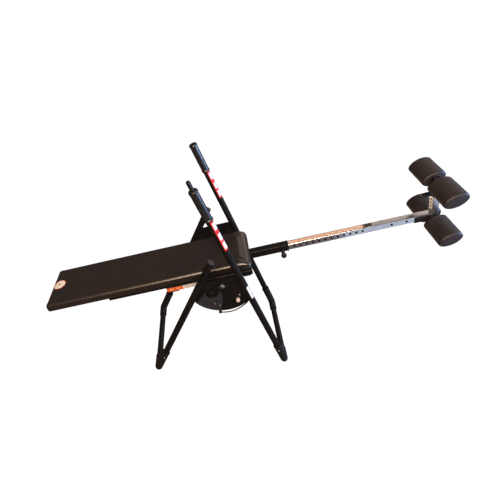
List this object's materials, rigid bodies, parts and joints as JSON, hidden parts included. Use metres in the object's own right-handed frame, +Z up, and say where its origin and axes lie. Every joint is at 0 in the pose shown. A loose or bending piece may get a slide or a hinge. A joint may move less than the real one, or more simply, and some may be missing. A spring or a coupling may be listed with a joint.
{
  "type": "inversion table",
  "caption": "Inversion table with a padded tilting bench on a tubular A-frame, hand grips, a disc brake worked by a push button, and a telescoping tube with foam ankle rollers.",
  "frame": {"origin": "on the floor under the middle of the bounding box", "axes": "+X towards the ankle end, +Y to the far side (the side without the brake button), +Z up"},
  "size_m": [2.2243, 0.5455, 1.2706],
  "materials": {
    "black_paint": "satin black powder coat",
    "black_plastic": "satin moulded",
    "grip_rubber": "matt",
    "vinyl": "soft grained vinyl over foam",
    "foam": "closed-cell foam with a fine skin",
    "chrome": "polished",
    "steel": "zinc plated",
    "cream_nylon": "satin",
    "brake_plastic": "satin moulded"
  },
  "bodies": {
    "frame": {"foot_ankle_near": "black_plastic", "foot_ankle_far": "black_plastic", "foot_head_near": "black_plastic", "foot_head_far": "black_plastic", "cross_bar_head": "black_paint", "cross_bar_ankle": "black_paint", "long_tube_near": "black_paint", "long_tube_far": "black_paint", "short_tube_near": "black_paint", "short_tube_far": "black_paint", "short_cap_near": "black_plastic", "short_cap_far": "black_plastic", "grip_near": "grip_rubber", "grip_far": "grip_rubber", "handle_cap_far": "black_plastic", "button_guide": "black_plastic", "side_plate_near": "black_paint", "side_plate_far": "black_paint", "pivot_bush_near": "black_plastic", "pivot_bush_far": "black_plastic", "brake_housing": "brake_plastic", "brake_cam": "black_paint", "brake_screw_1": "steel", "brake_screw_2": "steel", "cable_stop": "black_plastic", "brake_cable": "black_plastic"},
    "bench": {"pad": "vinyl", "bed_rail_near": "black_paint", "bed_rail_far": "black_paint", "frame_rail_near": "black_paint", "frame_rail_far": "black_paint", "cross_member_head": "black_paint", "cross_member_ankle": "black_paint", "bed_slat": "black_paint", "pivot_ear_near": "black_paint", "pivot_ear_far": "black_paint", "pivot_bolt_near": "steel", "pivot_bolt_far": "steel", "brake_disc": "steel", "receiver": "black_paint", "receiver_collar": "black_plastic", "pin_sleeve": "black_paint"},
    "ankle_tube": {"sliding_tube": "chrome", "tube_saddle": "black_plastic", "clamp_post": "chrome", "post_collar": "black_plastic", "lower_bar": "black_paint"},
    "clamp": {"clamp_stem": "black_paint", "clamp_head": "black_plastic", "upper_bar": "black_paint"},
    "lever": {"latch_lever": "black_plastic"},
    "pin": {"pull_pin": "black_plastic"},
    "button": {"push_button": "black_plastic"},
    "piston": {"brake_piston": "black_paint"},
    "adjuster": {"adjuster_knob": "cream_nylon"},
    "roller_upper_near": {"roller_upper_near": "foam"},
    "roller_upper_far": {"roller_upper_far": "foam"},
    "roller_lower_near": {"roller_lower_near": "foam"},
    "roller_lower_far": {"roller_lower_far": "foam"}
  },
  "joints": [
    {"name": "bench_tilt", "type": "hinge", "parent": "frame", "child": "bench", "pos_m": [-0.1351, 0, 0.66], "axis": [0, 1, 0], "range_deg": [-25, 36]},
    {"name": "tube_slide", "type": "slide", "parent": "bench", "child": "ankle_tube", "axis": [0.9767, 0, 0.2147], "range_m": [-0.385, 0]},
    {"name": "clamp_slide", "type": "slide", "parent": "ankle_tube", "child": "clamp", "axis": [-0.2147, 0, 0.9767], "range_m": [-0.04, 0]},
    {"name": "lever_lift", "type": "hinge", "parent": "ankle_tube", "child": "lever", "pos_m": [0.99393, 0, 1.01165], "axis": [0, 1, 0], "range_deg": [0, 22], "stiffness_Nm_per_rad": 1, "springref_deg": -11.46},
    {"name": "pin_pull", "type": "slide", "parent": "bench", "child": "pin", "axis": [0, -1, 0], "range_m": [0, 0.012], "stiffness_N_per_m": 500, "springref_m": -0.006},
    {"name": "button_press", "type": "slide", "parent": "frame", "child": "button", "axis": [0.3827, 0, -0.9239], "range_m": [0, 0.012], "stiffness_N_per_m": 500, "springref_m": -0.006},
    {"name": "piston_retract", "type": "slide", "parent": "frame", "child": "piston", "axis": [0, -1, 0], "range_m": [0, 0.003]},
    {"name": "adjuster_turn", "type": "hinge", "parent": "frame", "child": "adjuster", "pos_m": [-0.0521, -0.252, 0.56], "axis": [0, -1, 0], "range_deg": [-180, 180]},
    {"name": "roller_upper_near_turn", "type": "hinge", "parent": "clamp", "child": "roller_upper_near", "pos_m": [1.00333, 0, 1.08436], "axis": [0, 1, 0], "continuous": true},
    {"name": "roller_upper_far_turn", "type": "hinge", "parent": "clamp", "child": "roller_upper_far", "pos_m": [1.00333, 0, 1.08436], "axis": [0, 1, 0], "continuous": true},
    {"name": "roller_lower_near_turn", "type": "hinge", "parent": "ankle_tube", "child": "roller_lower_near", "pos_m": [1.05444, 0, 0.85191], "axis": [0, 1, 0], "continuous": true},
    {"name": "roller_lower_far_turn", "type": "hinge", "parent": "ankle_tube", "child": "roller_lower_far", "pos_m": [1.05444, 0, 0.85191], "axis": [0, 1, 0], "continuous": true}
  ],
  "couplings": [
    {"joint": "piston_retract", "follows": "button_press", "ratio": 0.25}
  ]
}
